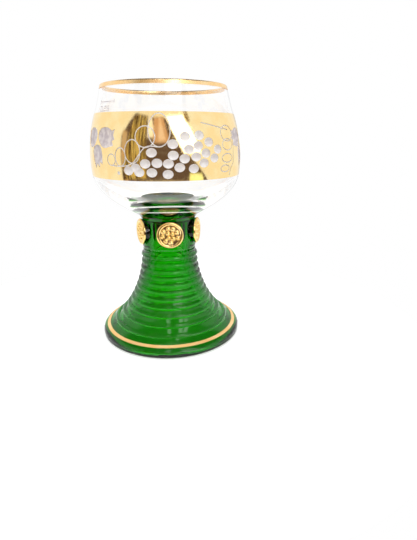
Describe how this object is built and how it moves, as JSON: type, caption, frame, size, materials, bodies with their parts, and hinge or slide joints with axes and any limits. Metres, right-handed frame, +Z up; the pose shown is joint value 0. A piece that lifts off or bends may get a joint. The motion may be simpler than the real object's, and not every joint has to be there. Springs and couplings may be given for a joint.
{
  "type": "roemer glass",
  "caption": "Roemer wine glass with a clear round bowl, an engraved gold band of grapes and vine leaves, and a hollow ribbed green stem with gilded prunts",
  "frame": {"origin": "centre of the foot's standing ring, on the table", "axes": "+Z up the axis of the glass, -Y towards the viewer of the picture, +X to the viewer's right"},
  "size_m": [0.088, 0.088, 0.1464],
  "materials": {
    "clear_glass": "polished clear glass, frosted in the cuts",
    "green_glass": "polished green glass",
    "gold": "bright burnished gold"
  },
  "bodies": {
    "root": {"bowl": "clear_glass", "stem": "green_glass", "prunt_1": "green_glass", "prunt_2": "green_glass", "prunt_3": "green_glass", "prunt_4": "green_glass", "prunt_5": "green_glass", "prunt_gilding_1": "gold", "prunt_gilding_2": "gold", "prunt_gilding_3": "gold", "prunt_gilding_4": "gold", "prunt_gilding_5": "gold", "rim_gilding": "gold", "band_gilding": "gold", "foot_gilding": "gold"}
  },
  "joints": []
}
